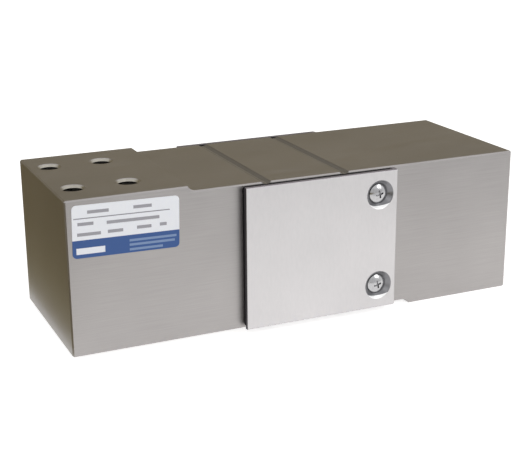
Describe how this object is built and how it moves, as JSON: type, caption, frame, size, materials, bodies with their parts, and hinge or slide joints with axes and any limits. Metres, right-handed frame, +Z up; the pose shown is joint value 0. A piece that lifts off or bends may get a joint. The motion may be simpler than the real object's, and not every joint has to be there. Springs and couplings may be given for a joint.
{
  "type": "single point load cell",
  "caption": "Single point load cell: ground steel block with raised mounting pads, flexure grooves, folded side covers over the gauge window and a cable gland in its end.",
  "frame": {"origin": "centre of the base bolt pattern, on the base pad's face", "axes": "+X along the body towards the fixed end and its cable gland, +Z up towards the load pad, -Y towards the labelled front face"},
  "size_m": [0.1836, 0.067, 0.0555],
  "materials": {
    "ground_steel": "ground, fine lengthwise grain",
    "cover_aluminium": "satin, faint rolling grain",
    "screw_steel": "bright turned",
    "seal_rubber": "matt black",
    "diaphragm_steel": "rolled",
    "gauge_film": "amber film with foil grid",
    "board_epoxy": "solder resist",
    "spacer_brass": "turned",
    "board_screw_steel": "zinc plated",
    "pin_tin": "tinned",
    "resistor_ceramic": "black body",
    "lead_insulation": "satin",
    "gland_metal": "nickel plated",
    "bush_rubber": "matt black",
    "washer_nylon": "natural nylon",
    "label_film": "printed polyester film"
  },
  "bodies": {
    "root": {"spring_body": "ground_steel", "front_cover": "cover_aluminium", "rear_cover": "cover_aluminium", "front_cover_screw_upper": "screw_steel", "front_cover_screw_lower": "screw_steel", "rear_cover_screw_upper": "screw_steel", "rear_cover_screw_lower": "screw_steel", "front_dust_seal": "seal_rubber", "rear_dust_seal": "seal_rubber", "front_diaphragm": "diaphragm_steel", "rear_diaphragm": "diaphragm_steel", "gauge_top_load_side": "gauge_film", "gauge_top_fixed_side": "gauge_film", "gauge_bottom_load_side": "gauge_film", "gauge_bottom_fixed_side": "gauge_film", "trim_board": "board_epoxy", "trim_board_spacer_front": "spacer_brass", "trim_board_spacer_rear": "spacer_brass", "trim_board_screw_front": "board_screw_steel", "trim_board_screw_rear": "board_screw_steel", "terminal_pins": "pin_tin", "trim_resistors": "resistor_ceramic", "gauge_leads": "lead_insulation", "gland_body": "gland_metal", "gland_face_seal": "bush_rubber", "gland_seal_bush": "bush_rubber", "gland_slip_washer": "washer_nylon", "gland_nut": "gland_metal", "name_label": "label_film"}
  },
  "joints": []
}
